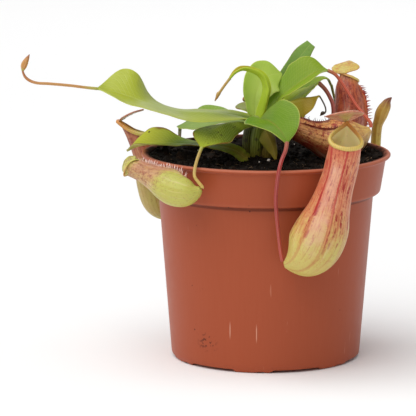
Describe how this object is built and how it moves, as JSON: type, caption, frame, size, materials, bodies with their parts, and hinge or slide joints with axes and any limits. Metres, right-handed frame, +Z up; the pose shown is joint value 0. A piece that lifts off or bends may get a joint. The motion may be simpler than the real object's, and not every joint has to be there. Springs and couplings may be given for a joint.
{
  "type": "potted pitcher plant",
  "caption": "Tropical pitcher plant with strap leaves, tendrils, lidded hanging pitchers and an unopened pod, rooted in peat in a round tapered plastic nursery pot.",
  "frame": {"origin": "centre of the base panel's underside, on the pot's axis; the pot's feet reach 1.2 mm lower", "axes": "+Z up along the pot's axis, the picture looks along +Y, the long left leaf reaches towards -X"},
  "size_m": [0.1782, 0.1346, 0.1496],
  "materials": {
    "pot": "satin injection-moulded plastic",
    "soil": "matt peat",
    "stem": "satin plant tissue",
    "fresh": "glossy young leaf",
    "grown": "satin grown leaf",
    "brown": "matt ageing leaf",
    "tan": "satin tendril",
    "red": "satin reddish tendril",
    "olive": "satin olive tissue",
    "pitcher": "satin pink and red pitcher wall",
    "pale": "satin yellow-green pitcher wall"
  },
  "bodies": {
    "root": {"pot": "pot", "soil": "soil", "leaf_left_long": "fresh", "leaf_left_back": "grown", "leaf_left_low": "grown", "leaf_front_left": "grown", "leaf_front": "fresh", "leaf_young": "fresh", "leaf_upright": "grown", "leaf_right_upper": "fresh", "leaf_right_under": "grown", "leaf_top": "grown", "leaf_right_brown": "brown", "leaf_right_far": "grown", "leaf_old": "brown", "leaf_back": "brown", "stem": "stem", "tendril_left_long": "tan", "tendril_left_back": "red", "tendril_front_left": "tan", "tendril_front": "red", "tendril_young": "tan", "tendril_right_upper": "red", "tendril_right_under": "red", "tendril_right_brown": "soil", "tendril_right_far": "olive", "tendril_back": "tan", "pitcher_front": "pitcher", "pitcher_left_front": "pale", "pitcher_lying": "pitcher", "pitcher_standing": "pitcher", "pitcher_left_back": "pitcher", "pitcher_unopened": "olive", "lid_front": "pitcher", "lid_left_front": "pale", "lid_lying": "pitcher", "lid_standing": "pale", "lid_left_back": "pitcher"}
  },
  "joints": []
}
